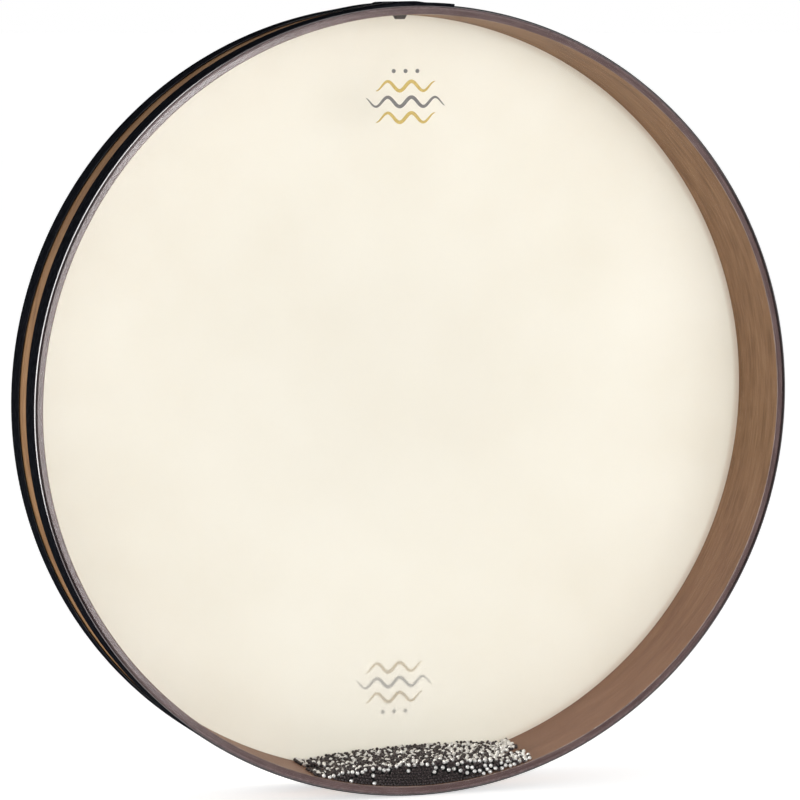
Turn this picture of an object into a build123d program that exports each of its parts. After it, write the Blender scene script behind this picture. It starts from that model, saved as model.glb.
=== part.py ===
from build123d import *
import math
import os
import random

# An ocean drum (wave drum): a shallow bent-wood hoop closed by a clear head and a skin head,
# with loose balls inside that roll round the hoop. The drum stands on its rim.
# The origin is the middle of the drum, +Y is its axis from the clear front head to the skin
# rear head, and +Z is up. All lengths are in millimetres and all angles in degrees.

# Shell: three plies bent into hoops, 22 by 2 3/4 inches
shell_radius = 558.8 / 2
shell_depth = 69.85
ply_thickness = [1.8, 1.9, 1.8]
ply_names = ["shell_outer_ply", "shell_core_ply", "shell_inner_ply"]
ply_joint_angles = [250.0, 130.0, 205.0]
ply_joint_gap = 0.3
outer_chamfer = 1.6
inner_chamfer = 0.5

# Heads: a thin sheet stretched over each edge of the shell, with a skirt down its wall
head_thickness = 0.35
head_skirt = 18.0
head_bend = 1.6
glue_thickness = 0.35

# Ribbons: one round each edge of the shell, over the head's skirt
ribbon_width = 22.0
ribbon_thickness = 0.9
lap_start = 85.0
lap_end = 93.0
lap_height = 1.4
hem_start = 90.0
hem_height = 0.9

# Filler plug: a tapered stopper in the hole that the balls are poured in by
plug_angle = 91.0
plug_radius = 5.2
plug_tip_radius = 3.5
plug_nose = 3.1
plug_cap_radius = 7.0
plug_cap_height = 1.2

# Balls: small dark ones, and larger bright ones that ride on top of them
dark_ball_radius = 1.2
bright_ball_radius = 1.5
ball_gap = 0.3
pile_left_front = -17.0
pile_left_rear = -16.0
pile_right_front = 18.2
pile_right_rear = 19.1
pile_rise_front = 4.2
pile_rise_rear = 3.4
dark_ball_pitch = 2.75
bright_ball_pitch = 3.4
plug_channel_margin = 0.9
seed = 22

shell_inside = shell_radius - sum(ply_thickness)
half_depth = shell_depth / 2
skirt_inside = shell_radius + glue_thickness
skirt_outside = skirt_inside + head_thickness
face = half_depth + head_thickness
ribbon_edge = face - head_bend
ball_wall = shell_inside - ball_gap


def at_angle(radius, angle):
    """The point (x, z) at an angle round the drum: 0 is +X, and 90 is the top."""
    return radius * math.cos(math.radians(angle)), radius * math.sin(math.radians(angle))


def turned(outline, start=0.0, sweep=360.0):
    """The solid that an outline of (radius, y) makes as it turns round the drum's axis."""
    return Rot(0, -start - sweep, 0) * revolve(outline, Axis.Y, sweep)


def outline_of(points, side):
    """A closed outline through points of (radius, distance from mid-depth), to one side."""
    return make_face(Polyline(*[(r, side * t) for r, t in points], close=True))


def rounded(outline, corners, side):
    """An outline with a round of its own radius at each corner, given as (r, t, radius)."""
    for r, t, radius in corners:
        corner = outline.vertices().sort_by_distance((r, side * t, 0))[0]
        outline = fillet(corner, radius)
    return outline


def plug_bore():
    """The tapered filler hole's straight bore, through every ply."""
    bore = Pos(0, 0, shell_radius) * Cylinder(plug_radius, 40)
    return Rot(0, 90 - plug_angle, 0) * bore


def ply(index):
    """One bent strip: its ends meet at a butt joint, and the hole for the plug is cut."""
    outer = shell_radius - sum(ply_thickness[:index])
    inner = outer - ply_thickness[index]
    top = half_depth
    points = [(inner, -top), (outer, -top), (outer, top), (inner, top)]
    if index == 0:
        step = outer_chamfer
        points[1:3] = [
            (outer - step, -top),
            (outer, step - top),
            (outer, top - step),
            (outer - step, top),
        ]
    if index == len(ply_thickness) - 1:
        step = inner_chamfer
        points[0] = (inner, step - top)
        points[-1] = (inner, top - step)
        points[1:1] = [(inner + step, -top)]
        points[-1:-1] = [(inner + step, top)]
    gap = math.degrees(ply_joint_gap / outer)
    hoop = turned(outline_of(points, 1), ply_joint_angles[index] + gap, 360 - gap)
    return hoop - plug_bore()


def glue(side):
    """The line of glue between the shell's chamfered edge and the head."""
    low = half_depth - head_skirt
    points = [
        (shell_radius - outer_chamfer, half_depth),
        (skirt_inside, half_depth),
        (skirt_inside, low),
        (shell_radius, low),
        (shell_radius, half_depth - outer_chamfer),
    ]
    bend = head_bend - head_thickness
    return turned(rounded(outline_of(points, side), [(*points[1], bend)], side))


def head(side):
    """A flat head with its skirt, bent round the shell's edge."""
    low = half_depth - head_skirt
    points = [
        (0, half_depth),
        (skirt_inside, half_depth),
        (skirt_inside, low),
        (skirt_outside, low),
        (skirt_outside, face),
        (0, face),
    ]
    corners = [(*points[1], head_bend - head_thickness), (*points[4], head_bend)]
    return turned(rounded(outline_of(points, side), corners, side))


def ribbon(side):
    """A woven ribbon round the drum. Its ends lap at the top, where the lower one is hemmed."""
    low = ribbon_edge - ribbon_width
    outside = skirt_outside + ribbon_thickness
    round_radius = ribbon_thickness * 0.4

    def layer(inner, outer):
        points = [(inner, low), (outer, low), (outer, ribbon_edge), (inner, ribbon_edge)]
        corners = [(outer, low, round_radius), (outer, ribbon_edge, round_radius)]
        return rounded(outline_of(points, side), corners, side)

    inner = outside - round_radius
    lap_top = outside + lap_height
    lap = turned(layer(inner, lap_top), lap_start, lap_end - lap_start)
    hem = turned(layer(inner, lap_top + hem_height), hem_start, lap_end - hem_start)
    return turned(layer(skirt_outside, outside)) + lap + hem


def filler_plug():
    """A stopper: a flat cap on the wood, a shank in the hole, and a tapered nose inside."""
    outline = make_face(
        Polyline(
            (0, shell_inside - plug_nose),
            (plug_tip_radius, shell_inside - plug_nose),
            (plug_radius, shell_inside - 0.3),
            (plug_radius, shell_radius + 0.1),
            (plug_cap_radius, shell_radius + 0.1),
            (plug_cap_radius - 0.5, shell_radius + 0.1 + plug_cap_height),
            (0, shell_radius + 0.1 + plug_cap_height),
            close=True,
        )
    )
    plug = Rot(90, 0, 0) * revolve(outline, Axis.Y)
    return Rot(0, 90 - plug_angle, 0) * plug


def depth_share(y):
    """0 at the front head and 1 at the rear head."""
    return (y + half_depth) / shell_depth


def between(front, rear, y):
    return front + (rear - front) * depth_share(y)


def pile_ends(y, sink):
    """Where the pile's surface, sunk by a distance, meets the wall, at the left and right."""
    turn = math.degrees(sink / (ball_wall * math.sin(math.radians(17.5))))
    left = between(pile_left_front, pile_left_rear, y) + turn
    right = between(pile_right_front, pile_right_rear, y) - turn
    return at_angle(ball_wall, left - 90), at_angle(ball_wall, right - 90)


def pile_surface(x, y, sink):
    """The height of the pile's surface, sunk by a distance, or None beyond its ends."""
    (x0, z0), (x1, z1) = pile_ends(y, sink)
    share = (x - x0) / (x1 - x0)
    if not 0 < share < 1:
        return None
    rise = between(pile_rise_front, pile_rise_rear, y)
    return z0 + (z1 - z0) * share + rise * 4 * share * (1 - share)


def bed_section(y, sink):
    """The buried balls' outline at one depth: the wall below and the low crown above."""
    (x0, z0), (x1, z1) = pile_ends(y, sink)
    middle = (x0 + x1) / 2
    crown = ThreePointArc((x0, z0), (middle, pile_surface(middle, y, sink)), (x1, z1))
    wall = ThreePointArc((x1, z1), (0, -ball_wall), (x0, z0))
    return Plane.XZ.offset(-y) * make_face([crown, wall])


def plug_channel():
    """The ring that the plug's nose sweeps as the balls go round, with room to spare."""
    half_width = plug_radius + plug_channel_margin
    low = shell_inside - plug_nose - plug_channel_margin
    points = [(low, -half_width), (low, half_width), (300, half_width), (300, -half_width)]
    return turned(outline_of(points, 1))


def ball_bed():
    """The buried balls as one closed body, one layer of balls in from what is seen."""
    inset = half_depth - 2 * (dark_ball_radius + ball_gap)
    sink = 2 * (dark_ball_radius + ball_gap)
    sections = [bed_section(-inset, sink), bed_section(inset, sink)]
    return loft(sections, ruled=True) - plug_channel()


def clears_wall(x, y, z, radius):
    """True if a ball is inside the wall, and out of the way of the plug's nose."""
    reach = math.hypot(x, z) + radius
    under_plug = abs(y) < plug_radius + plug_channel_margin + radius
    nose = shell_inside - plug_nose - plug_channel_margin
    return reach < (nose if under_plug else ball_wall)


def grid(low, high, across_low, across_high, pitch):
    """Points of a triangular grid."""
    row = 0
    across = across_low
    while across < across_high:
        along = low + (row % 2) * pitch / 2
        while along < high:
            yield along, across
            along += pitch
        across += pitch * math.sqrt(3) / 2
        row += 1


def dark_balls():
    """The layer of dark balls that lies against the clear head."""
    y = -(half_depth - ball_gap - dark_ball_radius)
    balls = []
    for x, z in grid(-95, 95, -ball_wall, -250, dark_ball_pitch):
        top = pile_surface(x, y, dark_ball_radius)
        if top is not None and z < top and clears_wall(x, y, z, dark_ball_radius):
            balls.append(Pos(x, y, z) * Sphere(dark_ball_radius))
    return balls


def bright_balls():
    """Bright balls strewn on top of the pile, the more of them towards its right end."""
    draw = random.Random(seed)
    deep = half_depth - ball_gap - bright_ball_radius
    sink = 2 * (dark_ball_radius + ball_gap)
    balls = []
    for y, x in grid(3 * bright_ball_radius - deep, deep, -95, 95, bright_ball_pitch):
        bed = pile_surface(x, y, sink)
        if bed is None or draw.random() > 0.28 + x / 400:
            continue
        z = bed + bright_ball_radius + ball_gap
        if clears_wall(x, y, z, bright_ball_radius):
            balls.append(Pos(x, y, z) * Sphere(bright_ball_radius))
    return balls


parts = {name: ply(index) for index, name in enumerate(ply_names)}
for place, side in (("front", -1), ("rear", 1)):
    parts[f"{place}_glue_line"] = glue(side)
    parts[f"{place}_ribbon"] = ribbon(side)
parts["clear_front_head"] = head(-1)
parts["skin_rear_head"] = head(1)
parts["filler_plug"] = filler_plug()
parts["ball_bed"] = ball_bed()
parts["dark_balls"] = Compound(children=dark_balls())
parts["bright_balls"] = Compound(children=bright_balls())

os.makedirs("parts", exist_ok=True)
for name, shape in parts.items():
    export_step(shape, f"parts/{name}.step")
    print(name, len(shape.solids()), round(shape.volume))
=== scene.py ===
import math
import random

import bmesh
import bpy
import numpy as np
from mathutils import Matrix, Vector


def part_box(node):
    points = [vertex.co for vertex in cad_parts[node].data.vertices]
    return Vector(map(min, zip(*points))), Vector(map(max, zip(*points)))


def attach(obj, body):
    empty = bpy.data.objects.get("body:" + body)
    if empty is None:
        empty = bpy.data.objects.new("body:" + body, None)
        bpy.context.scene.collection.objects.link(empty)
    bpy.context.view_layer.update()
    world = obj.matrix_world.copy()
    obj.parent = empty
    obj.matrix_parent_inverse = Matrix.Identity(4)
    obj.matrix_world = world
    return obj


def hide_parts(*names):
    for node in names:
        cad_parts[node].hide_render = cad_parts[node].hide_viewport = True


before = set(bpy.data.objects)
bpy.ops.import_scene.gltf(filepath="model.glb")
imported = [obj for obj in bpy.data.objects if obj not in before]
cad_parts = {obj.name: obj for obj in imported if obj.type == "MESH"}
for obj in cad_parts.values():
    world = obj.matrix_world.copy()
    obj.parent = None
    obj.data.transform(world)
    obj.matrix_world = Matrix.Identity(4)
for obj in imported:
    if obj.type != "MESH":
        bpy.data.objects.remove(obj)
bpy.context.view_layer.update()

# An ocean drum that stands on its rim: +Y is its axis, from the clear front head to the skin
# rear head. Lengths are in metres unless a name ends in _mm, and angles go round the drum from
# +X, with 90 degrees at the top.

MM = 0.001

# Sizes that the frame gives
ribbon_radius = -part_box("front_ribbon")[0].z
head_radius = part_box("clear_front_head")[1].x
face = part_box("skin_rear_head")[1].y
skirt_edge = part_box("skin_rear_head")[0].y
ribbon_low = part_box("rear_ribbon")[0].y
ribbon_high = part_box("rear_ribbon")[1].y

# Thicknesses of the layers, and the rounds on their edges
head_thickness = 0.35 * MM
glue_thickness = 0.35 * MM
head_bend = 1.6 * MM
ply_thickness = [1.8 * MM, 1.9 * MM, 1.8 * MM]
ply_joint_angles = [250.0, 130.0, 205.0]
outer_chamfer = 1.6 * MM
inner_round = 0.5 * MM
ply_joint_gap = 0.012    # between the ends of a ply, in degrees
milky_from = 0.50        # how far the clear head's bend faces outward where it turns milky
pleat_pitch_mm = 0.75    # of the fine pleats in the milky plastic, along the rim
seat_gap = 0.04 * MM     # between the heads and what they rest on
half_depth = face - head_thickness
shell_radius = head_radius - head_thickness - glue_thickness
shell_inside = shell_radius - sum(ply_thickness)

# The printed mark, in millimetres: three waves, one over another, with a row of dots above
front_mark, rear_mark = (-12.4, 213.0), (2.5, -210.5)
wave_rows = [(11.0, 22.0), (0.0, 29.0), (-11.0, 22.0)]
wave_length = 17.5
wave_height = 3.3
wave_stroke = 2.3
dot_row = 21.5
dot_offsets = [-8.75, 0.0, 8.75]
dot_radius = 1.5
print_thickness = 0.03 * MM
print_overlap = 0.01 * MM        # how deep the ink starts inside the head
shade_spread = 0.62              # half-width of the rear mark's shade, in strokes
shade_blur = 0.25                # softness of its edge, in millimetres

DRUM, CHARGE = "drum", "ball_charge"
ROUND_STEPS = 5          # in each rounded corner of a section
HOOP_SEGMENTS = 720


# ---------------------------------------------------------------- mesh helpers

def finish_mesh(name, vertices, faces, materials, uvs=None, sharp_over=35.0):
    """An object with smooth faces, and with edges kept sharp where they turn by more."""
    mesh = bpy.data.meshes.new(name)
    mesh.from_pydata(vertices, [], faces)
    if uvs is not None:
        mesh.uv_layers.new(name="strip").data.foreach_set("uv", np.ravel(uvs))
    mesh.polygons.foreach_set("use_smooth", [True] * len(mesh.polygons))
    mesh.set_sharp_from_angle(angle=math.radians(sharp_over))
    for material in materials:
        mesh.materials.append(material)
    mesh.update()
    made = bpy.data.objects.new(name, mesh)
    bpy.context.scene.collection.objects.link(made)
    return made


def face_outward(piece):
    """Turns all of a closed piece's faces over if they enclose it inside out."""
    mesh = piece.data
    mesh.calc_loop_triangles()
    corners = np.empty(len(mesh.loop_triangles) * 3, dtype=int)
    mesh.loop_triangles.foreach_get("vertices", corners)
    points = np.empty(len(mesh.vertices) * 3)
    mesh.vertices.foreach_get("co", points)
    a, b, c = points.reshape(-1, 3)[corners.reshape(-1, 3)].transpose(1, 0, 2)
    if np.einsum("ij,ij->", a, np.cross(b, c)) < 0:
        mesh.flip_normals()
    return piece


def place(piece, body, slot, *nodes):
    """Puts a piece on its body and hides the CAD nodes that it stands for. The slot, which names
    its finish, is not used.
    """
    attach(piece, body)
    if nodes:
        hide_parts(*nodes)
    return piece


def rounded(corners):
    """A closed outline through corners of (radius, y, round), its rounds cut into steps.
    A point a little way off each end of a round keeps the flat beside it flat in shading."""
    outline = []
    guard = 0.12 * MM
    for i, (radius, y, turn) in enumerate(corners):
        here = np.array((radius, y))
        if turn == 0:
            outline.append(here)
            continue
        before = np.array(corners[i - 1][:2]) - here
        after = np.array(corners[(i + 1) % len(corners)][:2]) - here
        before, after = before / np.linalg.norm(before), after / np.linalg.norm(after)
        half = math.acos(float(before @ after)) / 2
        reach = turn / math.tan(half)
        centre = here + (before + after) / np.linalg.norm(before + after) * turn / math.sin(half)
        start, end = here + before * reach - centre, here + after * reach - centre
        first = math.atan2(start[1], start[0])
        sweep = (math.atan2(end[1], end[0]) - first + math.pi) % (2 * math.pi) - math.pi
        outline.append(here + before * (reach + guard))
        for step in range(ROUND_STEPS + 1):
            angle = first + sweep * step / ROUND_STEPS
            outline.append(centre + turn * np.array((math.cos(angle), math.sin(angle))))
        outline.append(here + after * (reach + guard))
    return np.array(outline)


def swept(name, radii, depths, angles, materials, closed=True):
    """A hoop whose section at angles[i] has its points at radii[i] and depths[i].
    Its UV map holds metres along the hoop and metres round the section."""
    count, points = radii.shape
    turn = np.radians(angles)[:, None]
    vertices = np.stack([radii * np.cos(turn), depths, radii * np.sin(turn)], axis=-1)
    step_u = shell_radius * np.radians(np.diff(angles, append=angles[0] + 360 * closed))
    along = np.concatenate([[0], np.cumsum(step_u)])
    section = np.stack([radii[0], depths[0]], axis=-1)
    step_v = np.linalg.norm(np.roll(section, -1, axis=0) - section, axis=1)
    across = np.concatenate([[0], np.cumsum(step_v)])
    i, j = np.meshgrid(np.arange(count if closed else count - 1), np.arange(points), indexing="ij")
    i, j = i.ravel(), j.ravel()
    i2, j2 = (i + 1) % count, (j + 1) % points
    faces = np.stack([i * points + j, i * points + j2, i2 * points + j2, i2 * points + j], axis=1)
    uvs = np.stack(
        [
            np.stack([along[i], along[i], along[i + 1], along[i + 1]], axis=1),
            np.stack([across[j], across[j + 1], across[j + 1], across[j]], axis=1),
        ],
        axis=-1,
    ).reshape(-1, 2)
    faces = faces.tolist()
    if not closed:
        last = (count - 1) * points
        faces += [list(range(points))[::-1], list(range(last, last + points))]
        uvs = np.concatenate([uvs, np.zeros((2 * points, 2))])
    return face_outward(finish_mesh(name, vertices.reshape(-1, 3).tolist(), faces, materials, uvs))


def hoop(name, outline, materials, start=0.0, gap=0.0):
    """An outline swept round the drum. With a gap, in degrees, it is a bent strip whose ends
    don't quite meet."""
    closed = gap == 0
    if closed:
        angles = start + np.arange(HOOP_SEGMENTS) * 360 / HOOP_SEGMENTS
    else:
        angles = start + np.linspace(0, 360 - gap, HOOP_SEGMENTS)
    radii = np.repeat(outline[:, 0][None], len(angles), axis=0)
    depths = np.repeat(outline[:, 1][None], len(angles), axis=0)
    return swept(name, radii, depths, angles, materials, closed)


def lathe(name, outline, materials, segments=HOOP_SEGMENTS):
    """An open outline of (radius, y) from axis to axis, turned about the drum's axis."""
    vertices, rings = [], []
    for radius, y in outline:
        first = len(vertices)
        count = 1 if radius < 1e-9 else segments
        for k in range(count):
            angle = 2 * math.pi * k / count
            vertices.append((radius * math.cos(angle), y, radius * math.sin(angle)))
        rings.append((first, count))
    faces = []
    for (a, na), (b, nb) in zip(rings, rings[1:]):
        for k in range(segments):
            k2 = (k + 1) % segments
            quad = [a + k % na, b + k % nb, b + k2 % nb, a + k2 % na]
            faces.append(list(dict.fromkeys(quad)))
    return face_outward(finish_mesh(name, vertices, faces, materials))


def paint_faces(piece, rule):
    """Gives each face the material that rule(centre, normal) numbers."""
    for polygon in piece.data.polygons:
        polygon.material_index = rule(polygon.center, polygon.normal)


# ---------------------------------------------------------------- material helpers

class Surface:
    """A Principled material, with short ways to add nodes and links to it."""

    def __init__(self, name, colour=(0.8, 0.8, 0.8), **sockets):
        self.material = bpy.data.materials.new(name)
        self.material.use_nodes = True
        self.tree = self.material.node_tree
        self.shader = self.tree.nodes["Principled BSDF"]
        self.shader.inputs["Base Color"].default_value = (*colour, 1)
        for socket, value in sockets.items():
            self.shader.inputs[socket.replace("_", " ")].default_value = value

    def node(self, kind, settings=None, **inputs):
        made = self.tree.nodes.new("ShaderNode" + kind)
        for key, value in (settings or {}).items():
            setattr(made, key, value)
        for key, value in inputs.items():
            self.feed(made.inputs[key.replace("_", " ")], value)
        return made

    def feed(self, socket, value):
        if isinstance(value, bpy.types.NodeSocket):
            self.tree.links.new(value, socket)
        else:
            socket.default_value = value

    def math(self, operation, *values):
        made = self.node("Math", {"operation": operation})
        for socket, value in zip(made.inputs, values):
            self.feed(socket, value)
        return made.outputs[0]

    def strip(self, along, across, shift=0.0):
        """The strip map, in metres along and across, stretched by those scales."""
        where = self.node("UVMap", {"uv_map": "strip"}).outputs[0]
        mapping = self.node("Mapping", Vector=where)
        mapping.inputs["Scale"].default_value = (along, across, 1)
        mapping.inputs["Location"].default_value = (shift, shift, shift)
        return mapping.outputs[0]

    def coords(self, scale=1.0):
        """The piece's own coordinates, in metres, times a scale."""
        where = self.node("TexCoord").outputs["Object"]
        mapping = self.node("Mapping", Vector=where)
        mapping.inputs["Scale"].default_value = (scale, scale, scale)
        return mapping.outputs[0]

    def noise(self, vector, detail=3.0, roughness=0.55, distortion=0.0):
        return self.node(
            "TexNoise", Vector=vector, Scale=1.0, Detail=detail, Roughness=roughness,
            Distortion=distortion,
        ).outputs["Fac"]

    def ramp(self, value, *stops):
        """Colours at places from 0 to 1, given as (place, (r, g, b))."""
        made = self.node("ValToRGB", Fac=value)
        elements = made.color_ramp.elements
        while len(elements) < len(stops):
            elements.new(0.5)
        for element, (at, colour) in zip(elements, stops):
            element.position = at
            element.color = (*colour, 1)
        return made.outputs["Color"]

    def stretch(self, value, low, high, to_low=0.0, to_high=1.0):
        made = self.node("MapRange", {"clamp": True}, Value=value)
        for name, number in (
            ("From Min", low), ("From Max", high), ("To Min", to_low), ("To Max", to_high)
        ):
            made.inputs[name].default_value = number
        return made.outputs[0]

    def mix(self, share, first, second, blend="MIX"):
        made = self.node("Mix", {"data_type": "RGBA", "blend_type": blend})
        self.feed(made.inputs["Factor"], share)
        for socket, value in ((made.inputs[6], first), (made.inputs[7], second)):
            self.feed(socket, (*value, 1) if isinstance(value, tuple) else value)
        return made.outputs[2]

    def bump(self, height, distance, strength=1.0):
        made = self.node("Bump", Strength=strength, Distance=distance, Height=height)
        self.feed(self.shader.inputs["Normal"], made.outputs[0])

    def set(self, **values):
        for socket, value in values.items():
            self.feed(self.shader.inputs[socket.replace("_", " ")], value)


# ---------------------------------------------------------------- materials

def wood_face(name, dark, middle, light, shift, gloss, painted_top_shade=0.0, ruddy=0.0):
    """Bent veneer, stained and satin: grain runs along the hoop, with short dark pores. Painted
    shade can darken it towards the top of the hoop, where less light falls from overhead, and it
    can be redder towards the bottom."""
    s = Surface(name, middle, Roughness=0.5, Specular_IOR_Level=gloss)
    figure = s.noise(s.strip(16, 70, shift), detail=5, roughness=0.7, distortion=0.6)
    grain = s.noise(s.strip(30, 640, shift), detail=5, roughness=0.7)
    pores = s.noise(s.strip(150, 3600, shift), detail=2)
    body = s.math("ADD", s.math("MULTIPLY", figure, 0.42), s.math("MULTIPLY", grain, 0.58))
    colour = s.ramp(body, (0.39, dark), (0.5, middle), (0.61, light))
    height = s.node("SeparateXYZ", Vector=s.coords(1)).outputs[2]
    # painted shade: darker towards the top of the hoop, where less light falls from overhead
    colour = s.mix(s.stretch(height, 0.02, 0.17, 0.0, painted_top_shade), colour, tuple(c * 0.3 for c in dark))
    colour = s.mix(s.stretch(height, -0.24, -0.04, ruddy, 0.0), colour, (0.36, 0.205, 0.158))
    pore_share = s.stretch(pores, 0.62, 0.74, 0.0, 0.55)
    s.set(Base_Color=s.mix(pore_share, colour, tuple(c * 0.45 for c in dark)))
    s.set(Roughness=s.stretch(grain, 0.3, 0.7, 0.42, 0.58))
    s.bump(s.math("SUBTRACT", grain, s.math("MULTIPLY", pores, 0.5)), 0.06 * MM, 0.5)
    return s.material


def wood_edge():
    """The plies' cut edges under the heads: dark stain, in fine lines along the hoop."""
    s = Surface("stained_ply_edge", (0.13, 0.085, 0.087), Roughness=0.5, Specular_IOR_Level=0.1,
                Coat_Weight=1.0, Coat_Roughness=0.14)
    lines = s.noise(s.strip(9, 5200), detail=3, roughness=0.6)
    patches = s.noise(s.strip(28, 260), detail=3)
    body = s.math("ADD", s.math("MULTIPLY", lines, 0.6), s.math("MULTIPLY", patches, 0.4))
    s.set(Base_Color=s.ramp(
        body,
        (0.36, (0.050, 0.026, 0.025)),
        (0.5, (0.092, 0.055, 0.053)),
        (0.66, (0.155, 0.106, 0.103)),
    ))
    s.bump(lines, 0.05 * MM, 0.5)
    return s.material


def corner_highlight_wood():
    """The eased inner corner of the shell, in a paler colour than the edges: a painted highlight.
    """
    s = Surface("painted_corner_highlight", (0.34, 0.24, 0.19), Roughness=0.5)
    wear = s.noise(s.strip(40, 900), detail=3)
    # painted highlight along the eased corner
    s.set(Base_Color=s.ramp(wear, (0.35, (0.13, 0.085, 0.066)), (0.65, (0.29, 0.215, 0.175))))
    s.bump(wear, 0.04 * MM, 0.5)
    return s.material


def glue_material():
    """Glue, near black at the sides of the drum, and a lighter brown at the top and bottom."""
    s = Surface("dark_glue", (0.02, 0.006, 0.005), Roughness=0.45, Specular_IOR_Level=0.2)
    lumps = s.noise(s.strip(260, 900), detail=3)
    # darker at the sides of the drum, lighter at its top and bottom
    sides_colour = s.ramp(lumps, (0.35, (0.008, 0.002, 0.002)), (0.7, (0.022, 0.008, 0.007)))
    top_bottom_colour = s.ramp(lumps, (0.35, (0.085, 0.054, 0.054)), (0.7, (0.165, 0.118, 0.116)))
    axes = s.node("SeparateXYZ", Vector=s.coords(1)).outputs
    off_centre = s.math("ADD", s.math("ABSOLUTE", axes[0]), s.math("MULTIPLY", lumps, 0.05))
    s.set(Base_Color=s.mix(s.stretch(off_centre, 0.215, 0.270), top_bottom_colour, sides_colour))
    s.bump(lumps, 0.08 * MM, 0.6)
    return s.material


def ribbon_material():
    """Black woven ribbon: two sets of fine yarns, with a little worn grey on the high ribs."""
    s = Surface("black_ribbon", (0.010, 0.011, 0.013), Roughness=0.8, Specular_IOR_Level=0.0)
    warp = s.node("TexWave", {"bands_direction": "Y"}, Vector=s.strip(1, 1),
                  Scale=420.0, Distortion=1.2, Detail=2.0, Detail_Scale=2.0).outputs["Fac"]
    weft = s.node("TexWave", {"bands_direction": "X"}, Vector=s.strip(1, 1),
                  Scale=400.0, Distortion=1.6, Detail=2.0, Detail_Scale=2.0).outputs["Fac"]
    weave = s.math("MULTIPLY", s.math("ADD", warp, 0.25), s.math("ADD", weft, 0.25))
    dust = s.noise(s.strip(160, 400), detail=4)
    share = s.math("MULTIPLY", weave, s.stretch(dust, 0.3, 0.75, 0.2, 1.0))
    s.set(Base_Color=s.ramp(
        share,
        (0.05, (0.002, 0.002, 0.003)),
        (0.5, (0.009, 0.010, 0.013)),
        (1.0, (0.032, 0.034, 0.042)),
    ))
    s.set(Roughness=s.stretch(weave, 0.0, 1.2, 0.85, 0.6))
    s.bump(weave, 0.12 * MM, 0.8)
    return s.material


def selvedge_material():
    """The ribbon's narrow edges, where the weft turns back in small pale loops."""
    s = Surface("ribbon_selvedge", (0.05, 0.05, 0.055), Roughness=0.8, Specular_IOR_Level=0.0)
    loops = s.node("TexWave", {"bands_direction": "X"}, Vector=s.strip(1, 1),
                   Scale=400.0, Distortion=1.0, Detail=1.0).outputs["Fac"]
    s.set(Base_Color=s.ramp(loops, (0.3, (0.008, 0.008, 0.010)), (0.9, (0.120, 0.118, 0.122))))
    s.bump(loops, 0.1 * MM, 0.8)
    return s.material


def skin_material():
    """Cream synthetic skin: a faint cloudy mottle, short fibres, and a satin surface. Light
    comes through it. Its colour holds painted shade in the middle and by the rim, and the painted
    shadow of the mark printed on its outer face."""
    s = Surface("cream_skin", (0.93, 0.905, 0.845), Roughness=0.5, Specular_IOR_Level=0.2)
    clouds = s.noise(s.coords(9), detail=4, roughness=0.6)
    fibres = s.noise(s.coords(240), detail=4, roughness=0.6, distortion=0.8)
    body = s.math("ADD", s.math("MULTIPLY", clouds, 0.7), s.math("MULTIPLY", fibres, 0.3))
    cream = s.ramp(
        body,
        (0.30, (0.914, 0.883, 0.803)),
        (0.5, (0.938, 0.912, 0.840)),
        (0.70, (0.958, 0.936, 0.871)),
    )
    # painted shade in the middle of the skin, where the key light falls brightest
    cream = s.mix(painted_middle_shade(s), cream, (0.80, 0.772, 0.705))
    # painted shade by the rim, brown like light thrown back from the wall
    cream = s.mix(painted_rim_shade(s), cream, (0.62, 0.50, 0.40))
    # painted shadow of the mark printed on the outer face, as it shows through the skin
    shade = s.math("MULTIPLY", rear_mark_mask(s), s.stretch(clouds, 0.3, 0.7, 0.15, 0.4))
    colour = s.mix(shade, cream, (0.82, 0.80, 0.745))
    s.set(Base_Color=colour)
    s.set(Roughness=s.stretch(fibres, 0.3, 0.7, 0.42, 0.58))
    s.bump(s.math("ADD", fibres, clouds), 0.08 * MM, 0.35)
    glow = s.node("BsdfTranslucent")
    s.feed(glow.inputs["Color"], colour)
    both = s.node("MixShader", Fac=0.6)
    s.feed(both.inputs[1], s.shader.outputs[0])
    s.feed(both.inputs[2], glow.outputs[0])
    s.tree.links.new(both.outputs[0], s.tree.nodes["Material Output"].inputs["Surface"])
    return s.material


def off_axis(s):
    """The distance from the drum's axis, in millimetres."""
    axes = s.node("SeparateXYZ", Vector=s.coords(1 / MM)).outputs
    across = s.math("ADD", s.math("POWER", axes[0], 2.0), s.math("POWER", axes[2], 2.0))
    return s.math("SQRT", across)


def painted_middle_shade(s):
    """How much painted shade darkens the skin, evening out the key light: most in the middle."""
    return s.stretch(off_axis(s), 60.0, 235.0, 0.30, 0.0)


def painted_rim_shade(s):
    """How much painted shade browns the skin by its rim, beside the wall: least at the left."""
    across = s.node("SeparateXYZ", Vector=s.coords(1 / MM)).outputs[0]
    return s.math(
        "MULTIPLY", s.stretch(off_axis(s), 269.0, 272.5), s.stretch(across, -50.0, 200.0, 0.0, 0.4))


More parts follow.
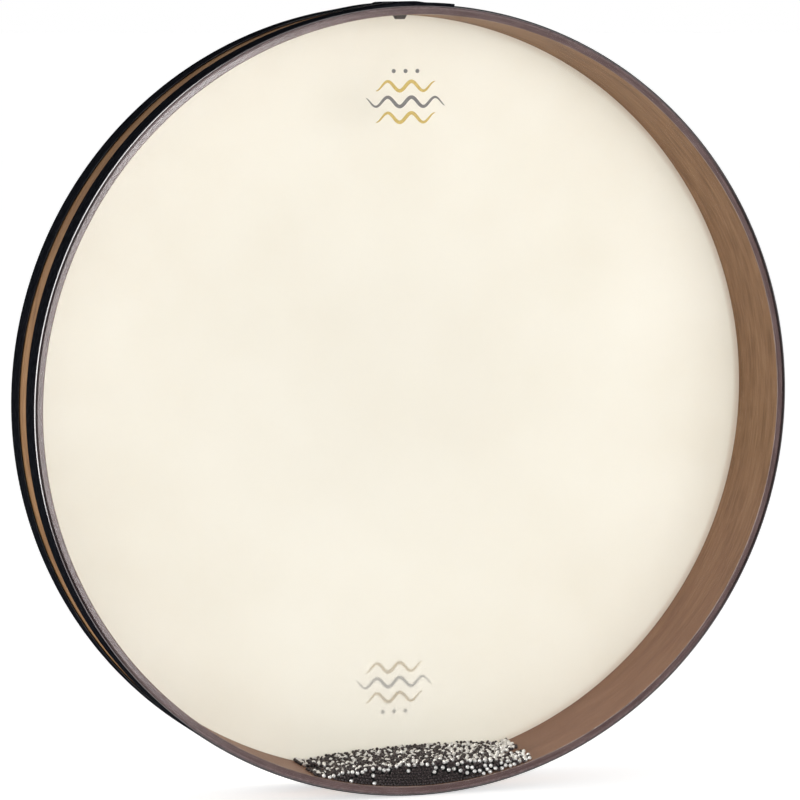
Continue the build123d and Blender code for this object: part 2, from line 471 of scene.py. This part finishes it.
def rear_mark_mask(s):
    """1 inside the rear mark's strokes, read off the head's own X and Z."""
    axes = s.node("SeparateXYZ", Vector=s.coords(1 / MM)).outputs
    x = s.math("MULTIPLY", s.math("SUBTRACT", axes[0], rear_mark[0]), -1.0)
    z = s.math("MULTIPLY", s.math("SUBTRACT", axes[2], rear_mark[1]), -1.0)
    phase = s.math("MULTIPLY", x, 2 * math.pi / wave_length)
    rolling = s.math("MULTIPLY", s.math("SINE", phase), wave_height)
    mask = None
    for height, reach in wave_rows:
        off = s.math("ABSOLUTE", s.math("SUBTRACT", s.math("SUBTRACT", z, rolling), height))
        share = s.math("MINIMUM", s.math("DIVIDE", s.math("ABSOLUTE", x), reach), 1.0)
        taper = s.math("SUBTRACT", 1.0, s.math("POWER", share, 3.0))
        stroke = s.math("MULTIPLY", taper, wave_stroke * shade_spread)
        edge = s.math("SUBTRACT", stroke, off)
        row = s.stretch(edge, -shade_blur, shade_blur)
        mask = row if mask is None else s.math("MAXIMUM", mask, row)
    for offset in dot_offsets:
        aside = s.math("POWER", s.math("SUBTRACT", x, offset), 2.0)
        above = s.math("POWER", s.math("SUBTRACT", z, dot_row), 2.0)
        away = s.math("SQRT", s.math("ADD", aside, above))
        dot = s.stretch(away, dot_radius + shade_blur, dot_radius - shade_blur)
        mask = s.math("MAXIMUM", mask, dot)
    return mask


def clear_film():
    """The clear head's outer face: it shows what is behind it, under gloss and a faint haze."""
    s = Surface("clear_film")
    s.tree.nodes.remove(s.shader)
    haze = s.node("MixShader", Fac=0.004)
    s.feed(haze.inputs[1], s.node("BsdfTransparent").outputs[0])
    s.feed(haze.inputs[2], s.node("BsdfDiffuse", Color=(0.95, 0.95, 0.95, 1)).outputs[0])
    scuffs = s.noise(s.coords(30), detail=4)
    gloss = s.node("BsdfGlossy", Roughness=s.stretch(scuffs, 0.3, 0.7, 0.10, 0.16))
    share = s.math("MULTIPLY", s.node("Fresnel", IOR=1.5).outputs[0], 0.12)
    mixed = s.node("MixShader", Fac=share)
    s.feed(mixed.inputs[1], haze.outputs[0])
    s.feed(mixed.inputs[2], gloss.outputs[0])
    output = s.tree.nodes["Material Output"]
    s.tree.links.new(mixed.outputs[0], output.inputs["Surface"])
    return s.material


def film_inside():
    """The clear head's inner face, which adds nothing to what is seen through it."""
    s = Surface("clear_film_inner_face", (0.02, 0.02, 0.02), Roughness=0.5, Alpha=0.02,
                Specular_IOR_Level=0.0)
    return s.material


def film_bend():
    """The head's bend and skirt, where drawing has left the plastic milky, in fine pleats."""
    s = Surface("drawn_film", (0.16, 0.145, 0.145), Roughness=0.2, Specular_IOR_Level=1.0)
    axes = s.node("SeparateXYZ", Vector=s.coords(1)).outputs
    round_the_rim = s.math("MULTIPLY", s.math("ARCTAN2", axes[2], axes[0]), head_radius / MM)
    patches = s.node("TexNoise", {"noise_dimensions": "1D"}, W=round_the_rim, Scale=0.12,
                     Detail=3.0).outputs["Fac"]
    wander = s.node("TexNoise", {"noise_dimensions": "1D"}, W=round_the_rim, Scale=0.5,
                    Detail=2.0).outputs["Fac"]
    phase = s.math("ADD", s.math("MULTIPLY", round_the_rim, 2 * math.pi / pleat_pitch_mm),
                   s.math("MULTIPLY", wander, 6.0))
    pleats = s.math("ADD", s.math("MULTIPLY", s.math("SINE", phase), 0.5), 0.5)
    body = s.math("ADD", s.math("MULTIPLY", pleats, 0.8), s.math("MULTIPLY", patches, 0.2))
    s.set(Base_Color=s.ramp(body, (0.15, (0.040, 0.030, 0.031)), (0.85, (0.160, 0.136, 0.140))))
    s.set(Roughness=s.stretch(patches, 0.3, 0.7, 0.17, 0.25))
    s.bump(pleats, 0.03 * MM, 0.2)
    return s.material


def rubber_material():
    s = Surface("dark_rubber", (0.06, 0.052, 0.046), Roughness=0.6)
    grain = s.noise(s.coords(2500), detail=3)
    s.set(Base_Color=s.ramp(grain, (0.3, (0.045, 0.038, 0.033)), (0.7, (0.085, 0.074, 0.066))))
    s.bump(grain, 0.05 * MM, 0.5)
    return s.material


def dark_ball_material():
    s = Surface("dark_ball", (0.02, 0.019, 0.019), Roughness=0.3, Specular_IOR_Level=0.4,
                Specular_Tint=(1.0, 0.86, 0.84, 1))
    tone = s.noise(s.coords(700), detail=1)
    s.set(Base_Color=s.ramp(tone, (0.3, (0.014, 0.010, 0.010)), (0.7, (0.040, 0.030, 0.030))))
    s.set(Roughness=s.stretch(s.noise(s.coords(4000)), 0.3, 0.7, 0.22, 0.42))
    return s.material


def bright_ball_material():
    s = Surface("bright_ball", (0.86, 0.85, 0.82), Roughness=0.3, Metallic=0.75)
    tone = s.noise(s.coords(500), detail=1)
    s.set(Base_Color=s.ramp(tone, (0.3, (0.74, 0.725, 0.70)), (0.7, (0.93, 0.92, 0.90))))
    s.set(Roughness=s.stretch(s.noise(s.coords(4000)), 0.3, 0.7, 0.24, 0.38))
    return s.material


def buried_ball_material():
    """The mass of balls beneath the outer ones: near black, darker than the balls, as painted
    shade, and rough, with round painted shadows between the balls.
    """
    s = Surface("buried_balls", (0.008, 0.007, 0.007), Roughness=0.8, Specular_IOR_Level=0.1)
    cells = s.node("TexVoronoi", Vector=s.coords(420)).outputs["Distance"]
    # painted shadows: darkest at the cells' edges, between the balls
    s.set(Base_Color=s.ramp(cells, (0.1, (0.014, 0.012, 0.012)), (0.6, (0.002, 0.002, 0.002))))
    s.bump(s.math("SUBTRACT", 1.0, cells), 0.8 * MM, 1.0)
    return s.material


def ink(name, dark, light):
    """Printed ink, a little uneven."""
    s = Surface(name, dark, Roughness=0.4)
    patches = s.noise(s.coords(900), detail=4)
    s.set(Base_Color=s.ramp(patches, (0.35, dark), (0.65, light)))
    s.bump(patches, 0.02 * MM, 0.4)
    return s.material


outer_wood = wood_face(
    "stained_veneer", (0.125, 0.060, 0.026), (0.222, 0.117, 0.051), (0.305, 0.174, 0.084),
    shift=0.0, gloss=0.01, painted_top_shade=0.5,
)
inner_wood = wood_face(
    "inner_veneer", (0.156, 0.081, 0.040), (0.238, 0.131, 0.068), (0.302, 0.178, 0.099),
    shift=3.7, gloss=0.05, ruddy=0.5,
)
edge_wood, painted_corner_highlight = wood_edge(), corner_highlight_wood()


# ---------------------------------------------------------------- pieces

eased_facing = (0.25, 0.92)      # how far the faces of an eased corner face along the axis
cut_facing = 0.35                # and, at the least, those of a cut edge


def ply_rule(eased):
    """Numbers a ply's faces by how far they face along the axis: 1 on its cut edges, 0 on its
    wide faces, and 2 on the eased corner, if it has one."""
    def rule(centre, normal):
        facing = abs(normal.y)
        if eased and eased_facing[0] < facing < eased_facing[1]:
            return 2
        return int(facing > cut_facing)

    return rule


def build_plies():
    """Three bent strips, each with its own butt joint. The cut edges get the dark stain."""
    outer = shell_radius
    for index, thickness in enumerate(ply_thickness):
        inner = outer - thickness
        outermost, innermost = index == 0, index == len(ply_thickness) - 1
        edge = half_depth - seat_gap
        front = [(inner, -edge, inner_round if innermost else 0)]
        if outermost:
            front += [(outer - outer_chamfer, -edge, 0), (outer, outer_chamfer - edge, 0)]
        else:
            front += [(outer, -edge, 0)]
        corners = front + [(r, -y, turn) for r, y, turn in front[::-1]]
        name = ("shell_outer_ply", "shell_core_ply", "shell_inner_ply")[index]
        faced = inner_wood if innermost else outer_wood
        ply = hoop(name + "_hoop", rounded(corners), [faced, edge_wood, painted_corner_highlight],
                   start=ply_joint_angles[index], gap=ply_joint_gap)
        paint_faces(ply, ply_rule(innermost))
        place(ply, DRUM, "inner_wood" if innermost else "stained_wood", name)
        outer = inner


def build_glue():
    inside = shell_radius + glue_thickness - seat_gap
    edge = half_depth - seat_gap
    for name, side in (("front_glue_line", -1), ("rear_glue_line", 1)):
        corners = [
            (shell_radius - outer_chamfer, side * edge, 0),
            (inside, side * edge, head_bend - head_thickness),
            (inside, side * skirt_edge, 0),
            (shell_radius, side * skirt_edge, 0),
            (shell_radius, side * (edge - outer_chamfer), 0),
        ]
        place(hoop(name + "_bead", rounded(corners), [glue]), DRUM, "glue", name)


def head_outline(side):
    """A head's section, from the axis on its outer face, round its skirt, to the axis inside."""
    inside = head_radius - head_thickness
    corners = [
        (0, side * face, 0),
        (head_radius, side * face, head_bend),
        (head_radius, side * skirt_edge, 0),
        (inside, side * skirt_edge, 0),
        (inside, side * half_depth, head_bend - head_thickness),
        (0, side * half_depth, 0),
    ]
    return rounded(corners)


def build_heads():
    clear = lathe("clear_front_head_sheet", head_outline(-1), [film, film_inner, drawn_film])

    def film_rule(centre, normal):
        outward = (normal.x * centre.x + normal.z * centre.z) / math.hypot(centre.x, centre.z)
        if outward > milky_from:
            return 2
        return 0 if centre.y < -half_depth - head_thickness / 2 else 1

    paint_faces(clear, film_rule)
    place(clear, DRUM, "clear_film", "clear_front_head")
    skin_head = lathe("skin_rear_head_sheet", head_outline(1), [skin])
    place(skin_head, DRUM, "cream_skin", "skin_rear_head")


rib_pitch = 0.78 * MM    # round the drum
rib_depth = 0.10 * MM
tooth_depth = 0.55 * MM  # of the loops along the ribbon's edge
edge_drop = 0.22 * MM    # how far the ribbon thins to its edges
ribbon_columns = 7
ribbon_turn = 359.9      # once round, in degrees, as are the places of the lap and the hem
lap_start, lap_end, hem_start = 85.0, 93.0, 90.0
lap_height, hem_height = 1.4 * MM, 0.9 * MM
lap_slope, hem_rise, hem_fall = 7.0, 2.0, 0.8
hem_past_lap = 0.3


def smooth(share):
    share = np.clip(share, 0, 1)
    return share * share * (3 - 2 * share)


def lap_rise(angles):
    """How far the ribbon stands off the drum at each angle, over its lower end and its hem."""
    over_end = smooth((lap_end + lap_slope - angles) / lap_slope) * lap_height
    up = smooth((angles - hem_start + hem_rise / 2) / hem_rise)
    down = smooth((lap_end + hem_past_lap - angles) / hem_fall)
    return over_end + up * down * hem_height


def build_ribbons():
    """Each ribbon goes once round and laps over its own hemmed end at the top of the drum.
    Its face is woven in short ribs, each column of them half a rib out of step with the next,
    and its edges have small loops, which are larger on the side of the bare wood."""
    thickness = ribbon_radius - head_radius
    width = ribbon_high - ribbon_low
    ribs = round(math.radians(360) * ribbon_radius / rib_pitch)
    share = np.linspace(0, 1, ribs * 2 + 1)
    angles = lap_start + share * ribbon_turn
    rise = lap_rise(angles)
    across = np.concatenate([[0], (np.arange(ribbon_columns) + 0.5) / ribbon_columns, [1]])
    step, column = np.meshgrid(np.arange(len(angles)), np.arange(len(across)), indexing="ij")
    low = (step + column) % 2
    outer = head_radius + thickness + rise[:, None] - rib_depth * low
    outer[:, [0, -1]] -= edge_drop
    depth = np.repeat((ribbon_low + across * width)[None], len(angles), axis=0)
    depth[:, 0] += tooth_depth * low[:, 0]
    depth[:, -1] -= 0.5 * tooth_depth * low[:, -1]
    under = np.full((len(angles), 2), head_radius + seat_gap / 2)
    radii = np.concatenate([outer, under], axis=1)
    for name, side in (("front_ribbon", -1), ("rear_ribbon", 1)):
        depths = side * np.concatenate([depth, depth[:, -1:], depth[:, :1]], axis=1)
        band = swept(name + "_weave", radii, depths, angles, [ribbon, selvedge], closed=False)
        paint_faces(band, lambda centre, normal: int(abs(centre.y) < ribbon_low + tooth_depth))
        place(band, DRUM, "black_ribbon", name)


def build_plug():
    """The stopper in the top of the shell: a flat cap, a shank, and a tapered nose inside."""
    low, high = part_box("filler_plug")
    plug_angle = math.radians(91.0)
    shank, tip, cap = 5.2 * MM, 3.5 * MM, 7.0 * MM
    # the plug leans by a degree, so its two ends lie a little inside the box that it fills
    nose_end, top = low.z + 0.03 * MM, high.z - 0.05 * MM
    seat = shell_radius + 0.1 * MM
    corners = [
        (0, nose_end, 0), (tip, nose_end, 0.4 * MM), (shank, shell_inside - 0.3 * MM, 0),
        (shank, seat, 0), (cap, seat, 0.15 * MM), (cap - 0.4 * MM, top, 0.4 * MM), (0, top, 0),
    ]
    plug = lathe("filler_plug_stopper", rounded(corners), [rubber], segments=64)
    # the lathe turns about Y, so the plug's length is moved from Y to the way out at its angle
    out = Vector((math.cos(plug_angle), 0, math.sin(plug_angle)))
    side = Vector((-out.z, 0, out.x))
    for vertex in plug.data.vertices:
        x, y, z = vertex.co
        vertex.co = out * y + side * x + Vector((0, z, 0))
    plug.data.update()
    place(plug, DRUM, "dark_rubber", "filler_plug")


def wave_outline(height_mm, reach_mm):
    """The outline of a wave drawn with a brush: its stroke thins to each end."""
    steps = 72
    left, right = [], []
    for k in range(steps + 1):
        share = k / steps
        x = -reach_mm + 2 * reach_mm * share
        z = height_mm + wave_height * math.sin(2 * math.pi * x / wave_length)
        slope = wave_height * 2 * math.pi / wave_length * math.cos(2 * math.pi * x / wave_length)
        length = math.hypot(1, slope)
        half = wave_stroke / 2 * (0.12 + math.sin(math.pi * share) ** 0.6)
        left.append((x - half * slope / length, z + half / length))
        right.append((x + half * slope / length, z - half / length))
    return left + right[::-1]


def dot_outline(x_mm, z_mm):
    """The outline of a dot."""
    return [
        (x_mm + dot_radius * math.cos(a), z_mm + dot_radius * math.sin(a))
        for a in np.linspace(0, 2 * math.pi, 20, endpoint=False)
    ]


def flat_print(name, outlines, centre_mm, side, material, turned=False):
    """Thin closed patches of ink on a head's outer face."""
    vertices, faces = [], []
    flip = -1 if turned else 1
    near, far = side * (face - print_overlap), side * (face + print_thickness)
    for outline in outlines:
        first, count = len(vertices), len(outline)
        for y in (near, far):
            for x, z in outline:
                across, up = centre_mm[0] + flip * x, centre_mm[1] + flip * z
                vertices.append((across * MM, y, up * MM))
        for level, order in ((0, 1), (count, -1)):
            for k in range(count // 2 - 1):
                quad = [first + level + n for n in (k, k + 1, count - 2 - k, count - 1 - k)]
                faces.append(quad[::order])
        for k in range(count):
            k2 = (k + 1) % count
            faces.append([first + k, first + k + count, first + k2 + count, first + k2])
    piece = finish_mesh(name, vertices, faces, [material], sharp_over=20)
    make_outward(piece)
    return piece


def make_outward(piece):
    """Turns each face of a closed piece outwards, whichever way its neighbours were made."""
    work = bmesh.new()
    work.from_mesh(piece.data)
    bmesh.ops.recalc_face_normals(work, faces=work.faces)
    work.to_mesh(piece.data)
    work.free()


def build_prints():
    """The mark on the outer face of each head, upside down on the rear one."""
    waves = [wave_outline(*row) for row in wave_rows]
    dots = [dot_outline(x, dot_row) for x in dot_offsets]
    gold = ink("gold_ink", (0.36, 0.24, 0.035), (0.50, 0.36, 0.075))
    grey = ink("grey_ink", (0.09, 0.085, 0.08), (0.15, 0.14, 0.13))
    for end, centre, side, slot, turned in (
        ("front", front_mark, -1, "clear_film", False),
        ("rear", rear_mark, 1, "cream_skin", True),
    ):
        for name, outlines, colour in (
            ("_gold_waves", [waves[0], waves[2]], gold),
            ("_grey_wave_and_dots", [waves[1], *dots], grey),
        ):
            place(flat_print(end + name, outlines, centre, side, colour, turned), DRUM, slot)


# ---------------------------------------------------------------- balls

DARK, BRIGHT = 1.2, 1.5          # radii, in millimetres, as are all lengths for the balls
wall_mm = shell_inside / MM - 0.1
film_mm = half_depth / MM - 0.05
pile_left = (-17.0, -16.0)       # where the pile's surface meets the wall, at front and rear,
pile_right = (18.2, 19.1)        # in degrees from straight down
pile_rise = (4.2, 3.4)
plug_room = (6.1, 269.9)         # half-width and radius of the ring that the plug's nose needs
settle_reach = (2.4, 4.6)        # the furthest that a ball is moved in, from the wall and the ring
row_pitch = 2.11                 # of the rows of dark balls against the clear head
ball_pitch = 2.48                # along the row at the wall, and in step with it in the others
film_rows = 9
surface_tries, film_tries = 6500, 1500
dark_layers = [(30000, -0.2), (22000, 1.9)]      # tries, and how far the layer is sunk
layer_spread = 0.7
bed_ends = (-62, 68)
bed_sink, bed_inset = 4.2, 2.2   # of the buried body: below the surface, and from the heads

# single bright balls that show low down through the clear head: x, and depth below the surface
strays = [
    (-52.7, 9.1), (-35.3, 13.0), (9.9, 7.9), (20.9, 7.0), (24.3, 7.2), (29.8, 7.9), (34.8, 9.8),
    (37.3, 8.1), (44.2, 8.9), (48.8, 6.1),
]


def front_to_rear(pair, y):
    share = (y / film_mm + 1) / 2
    return pair[0] + (pair[1] - pair[0]) * share


def pile_surface(x, y):
    """The height of the pile's surface in millimetres, or None past its ends."""
    left = math.radians(front_to_rear(pile_left, y))
    right = math.radians(front_to_rear(pile_right, y))
    x0, z0 = wall_mm * math.sin(left), -wall_mm * math.cos(left)
    x1, z1 = wall_mm * math.sin(right), -wall_mm * math.cos(right)
    share = (x - x0) / (x1 - x0)
    if not 0 < share < 1:
        return None
    return z0 + (z1 - z0) * share + front_to_rear(pile_rise, y) * 4 * share * (1 - share)


class Pile:
    """Balls that run into each other by no more than a closeness under 1 lets them. They are
    kept in cells as wide as the largest ball."""

    cell = 2 * BRIGHT

    def __init__(self):
        self.cells = {}
        self.balls = {DARK: [], BRIGHT: []}

    def key(self, place):
        return tuple(int(v // self.cell) for v in place)

    def free(self, place, radius, closeness=0.97):
        a, b, c = self.key(place)
        for i in (a - 1, a, a + 1):
            for j in (b - 1, b, b + 1):
                for k in (c - 1, c, c + 1):
                    for other, size in self.cells.get((i, j, k), ()):
                        if math.dist(place, other) < closeness * (radius + size):
                            return False
        return True

    def add(self, place, radius, closeness=0.97):
        """Adds a ball if it is clear of the others. One that's partly in the wall, or in the
        ring that the plug's nose needs, is first moved in from it, if it hasn't far to go."""
        x, y, z = place
        if abs(y) + radius > film_mm:
            return False
        by_plug = abs(y) < plug_room[0] + radius
        most = (plug_room[1] if by_plug else wall_mm) - radius
        reach = math.hypot(x, z)
        if reach > most + settle_reach[by_plug]:
            return False
        if reach > most:
            place = (x * most / reach, y, z * most / reach)
        if not self.free(place, radius, closeness):
            return False
        self.cells.setdefault(self.key(place), []).append((place, radius))
        self.balls[radius].append(place)
        return True


def bright_share(x):
    """How many of the tries at a place on the surface put a bright ball there: nearly all of
    them at the right end."""
    past = min(max((x - 22) / 48, 0), 1)
    return 0.12 + 0.86 * past * past * (3 - 2 * past)


def strew_bright(pile, draw):
    """Bright balls on the surface, and some that show through the clear head: mostly near the
    surface, and deeper towards the right end."""
    for _ in range(surface_tries):
        x, y = draw.uniform(-84, 94), draw.uniform(-33.3, 33.3)
        top = pile_surface(x, y)
        if top is None or draw.random() > bright_share(x):
            continue
        pile.add((x, y, top - BRIGHT + draw.uniform(-0.9, 0.9)), BRIGHT)
    against_film = -(film_mm - BRIGHT)
    for _ in range(film_tries):
        x = draw.uniform(-80, 88)
        top = pile_surface(x, against_film)
        if top is None:
            continue
        to_right = min(max((x - 30) / 35, 0), 1)
        depth = draw.expovariate(1 / (1.6 + 5.0 * to_right))
        if draw.random() < 0.06 + 0.9 * to_right:
            pile.add((x, against_film + draw.uniform(0, 0.2), top - BRIGHT - depth), BRIGHT)
    for x, depth in strays:
        top = pile_surface(x, against_film)
        pile.add((x, against_film, top - depth), BRIGHT)


def pack_front(pile, draw):
    """Dark balls in rows along the wall, pressed against the clear head."""
    against_film = -(film_mm - DARK)
    pitch = ball_pitch / (wall_mm - DARK)
    for row in range(film_rows):
        radius = wall_mm - DARK - 0.02 - row * row_pitch
        loose = 0.05 * min(row, 4)
        for k in range(-82, 82):
            turn = (k + (row % 2) / 2) * pitch
            x = radius * math.sin(turn) + draw.uniform(-loose, loose)
            z = -radius * math.cos(turn) + draw.uniform(-loose, loose)
            top = pile_surface(x, against_film)
            if top is not None and z < top - 0.3:
                pile.add((x, against_film + draw.uniform(0, 0.12), z), DARK, 0.86)


def fill_surface(pile, draw):
    """Dark balls between the bright ones, then a layer under them that closes the gaps."""
    for tries, sink in dark_layers:
        for _ in range(tries):
            x, y = draw.uniform(-84, 94), draw.uniform(-33.6, 33.6)
            top = pile_surface(x, y)
            if top is not None:
                z = top - DARK - sink + draw.uniform(-layer_spread, layer_spread)
                pile.add((x, y, z), DARK, 0.93)


def ball_mesh(name, places, radius, material, divisions):
    """Many balls as one mesh of separate closed spheres, each turned its own way."""
    work = bmesh.new()
    bmesh.ops.create_icosphere(work, subdivisions=divisions, radius=radius * MM)
    base = np.array([v.co for v in work.verts])
    triangles = np.array([[v.index for v in f.verts] for f in work.faces])
    work.free()
    centres = np.array(places) * MM
    vertices = (centres[:, None] + base[None]).reshape(-1, 3)
    offsets = np.arange(len(places)) * len(base)
    faces = (triangles[None] + offsets[:, None, None]).reshape(-1, 3)
    return finish_mesh(name, vertices.tolist(), faces.tolist(), [material], sharp_over=180)


def build_bed():
    """The dark body of buried balls, which closes what shows between the outer ones."""
    inset = film_mm - bed_inset
    rows, columns = 10, 44
    vertices, faces = [], []
    for row in range(rows + 1):
        y = -inset + 2 * inset * row / rows
        low_radius = wall_mm - 2.6 if abs(y) > plug_room[0] else plug_room[1] - 0.4
        ring = []
        for k in range(columns + 1):
            x = bed_ends[0] + (bed_ends[1] - bed_ends[0]) * k / columns
            wall = -math.sqrt(low_radius**2 - x * x)
            ring.append((x, y, max(pile_surface(x, y) - bed_sink, wall)))
        for k in range(columns + 1):
            x = bed_ends[1] + (bed_ends[0] - bed_ends[1]) * k / columns
            ring.append((x, y, -math.sqrt(low_radius**2 - x * x) - 0.01))
        vertices += [tuple(v * MM for v in point) for point in ring]
    around = 2 * (columns + 1)
    for row in range(rows):
        for k in range(around):
            k2 = (k + 1) % around
            a, b = row * around, (row + 1) * around
            faces.append([a + k, a + k2, b + k2, b + k])
    for start in (0, rows * around):
        for k in range(columns):
            faces.append([start + k, start + k + 1, start + around - 2 - k, start + around - 1 - k])
    bed = finish_mesh("buried_balls_body", vertices, faces, [buried])
    make_outward(bed)
    return bed


def build_balls():
    """The pile: each kind of ball in two pieces, and the body of buried balls."""
    draw = random.Random(22)
    pile = Pile()
    strew_bright(pile, draw)
    pack_front(pile, draw)
    fill_surface(pile, draw)
    for kind, radius, material, divisions in (
        ("dark_ball", DARK, dark_ball, 2),
        ("bright_ball", BRIGHT, bright_ball, 3),
    ):
        places = pile.balls[radius]
        half = len(places) // 2
        for end, share in (("_a", places[:half]), ("_b", places[half:])):
            piece = ball_mesh(kind + "s" + end, share, radius, material, divisions)
            place(piece, CHARGE, kind, kind + "s")
    place(build_bed(), CHARGE, "dark_ball", "ball_bed")


# ---------------------------------------------------------------- stage

def area_light(name, place_at, aim, width, height, power, colour=(1, 1, 1)):
    light = bpy.data.lights.new(name, "AREA")
    light.shape = "RECTANGLE"
    light.size, light.size_y = width, height
    light.energy = power
    light.color = colour
    lamp = bpy.data.objects.new(name, light)
    bpy.context.scene.collection.objects.link(lamp)
    lamp.location = place_at
    lamp.rotation_euler = (Vector(aim) - Vector(place_at)).to_track_quat("-Z", "Y").to_euler()
    return lamp


def build_floor():
    """A plain white floor that glows a little, like a light table, so the shadows stay soft."""
    reach = 200.0
    level = -ribbon_radius - 0.3 * MM
    corners = [(x * reach, y * reach, level) for x, y in ((-1, -1), (1, -1), (1, 1), (-1, 1))]
    s = Surface("floor", (0.92, 0.92, 0.92), Roughness=0.8, Specular_IOR_Level=0.1,
                Emission_Color=(1, 1, 1, 1), Emission_Strength=0.56)
    tone = s.noise(s.coords(1.5), detail=2)
    s.set(Base_Color=s.ramp(tone, (0.3, (0.90, 0.90, 0.90)), (0.7, (0.92, 0.92, 0.92))))
    floor = finish_mesh("studio_floor", corners, [(0, 1, 2, 3)], [s.material])
    floor.visible_glossy = False


def build_world():
    """White to the camera. Matt surfaces get less light from overhead than from the sides, and
    gloss sees a dark room in front."""
    world = bpy.data.worlds.new("studio")
    bpy.context.scene.world = world
    world.use_nodes = True
    tree = world.node_tree
    background = tree.nodes["Background"]
    background.inputs["Color"].default_value = (1, 1, 1, 1)
    direction = tree.nodes.new("ShaderNodeTexCoord").outputs["Generated"]

    def room(toward, low, high, to_low, to_high):
        """A strength that changes with how far a direction turns toward another one."""
        turn = tree.nodes.new("ShaderNodeVectorMath")
        turn.operation = "DOT_PRODUCT"
        turn.inputs[1].default_value = toward
        ranged = tree.nodes.new("ShaderNodeMapRange")
        for name, number in (
            ("From Min", low), ("From Max", high), ("To Min", to_low), ("To Max", to_high)
        ):
            ranged.inputs[name].default_value = number
        tree.links.new(direction, turn.inputs[0])
        tree.links.new(turn.outputs["Value"], ranged.inputs["Value"])
        return ranged.outputs[0]

    path = tree.nodes.new("ShaderNodeLightPath").outputs
    previous = None
    for ray, strength in (
        ("Is Diffuse Ray", room((0, 0, 1), 0.15, 0.85, 0.93, 0.25)),
        ("Is Glossy Ray", room((-0.1, -0.995, 0.05), 0.25, 0.70, 0.85, 0.06)),
    ):
        pick = tree.nodes.new("ShaderNodeMix")
        pick.inputs["A"].default_value = 1.0
        tree.links.new(path[ray], pick.inputs["Factor"])
        tree.links.new(strength, pick.inputs["B"])
        if previous:
            tree.links.new(previous, pick.inputs["A"])
        previous = pick.outputs[0]
    tree.links.new(previous, background.inputs["Strength"])


def build_lights():
    """A softbox and a dimmer card in front, which gloss shows, and a fill that it doesn't. At
    the left, a wall of light that only gloss shows, and a small fill."""
    area_light("key", (0.25, -3.1, 0.45), (0, 0, 0), 1.1, 0.85, 33)
    area_light("front_card", (0.35, -3.1, -0.42), (0, 0, 0), 0.6, 0.85, 9)
    area_light("front_fill", (1.0, -2.2, 0.35), (0, 0, 0), 1.2, 1.2, 10).visible_glossy = False
    left_wall = area_light("left_wall", (-2.07, 0.75, 0.8), (0, 0, 0.1), 3.6, 4.4, 400)
    left_wall.visible_diffuse = False
    area_light("left_fill", (-2.4, -0.6, -0.2), (0, 0, 0), 0.8, 1.2, 16)


def build_camera():
    """The view from the front left, from the height of the drum's top."""
    azimuth, elevation, distance = math.radians(-18.71), math.radians(5.58), 2.764
    camera = bpy.data.cameras.new("camera")
    camera.lens = 173.9
    camera.sensor_width = 36.0
    camera.shift_x, camera.shift_y = -0.0077, -0.0008
    camera.clip_start, camera.clip_end = 0.05, 200
    eye = bpy.data.objects.new("camera", camera)
    bpy.context.scene.collection.objects.link(eye)
    back = Vector((
        math.sin(azimuth) * math.cos(elevation),
        -math.cos(azimuth) * math.cos(elevation),
        math.sin(elevation),
    ))
    eye.location = back * distance
    eye.rotation_euler = (-back).to_track_quat("-Z", "Y").to_euler()
    bpy.context.scene.camera = eye


glue = glue_material()
ribbon, selvedge = ribbon_material(), selvedge_material()
skin = skin_material()
film, film_inner, drawn_film = clear_film(), film_inside(), film_bend()
rubber = rubber_material()
dark_ball, bright_ball = dark_ball_material(), bright_ball_material()
buried = buried_ball_material()

build_camera()
build_floor()
build_world()
build_lights()
build_plies()
build_glue()
build_heads()
build_ribbons()
build_plug()
build_prints()
build_balls()

scene = bpy.context.scene
scene.view_settings.view_transform = "Standard"
scene.view_settings.look = "None"
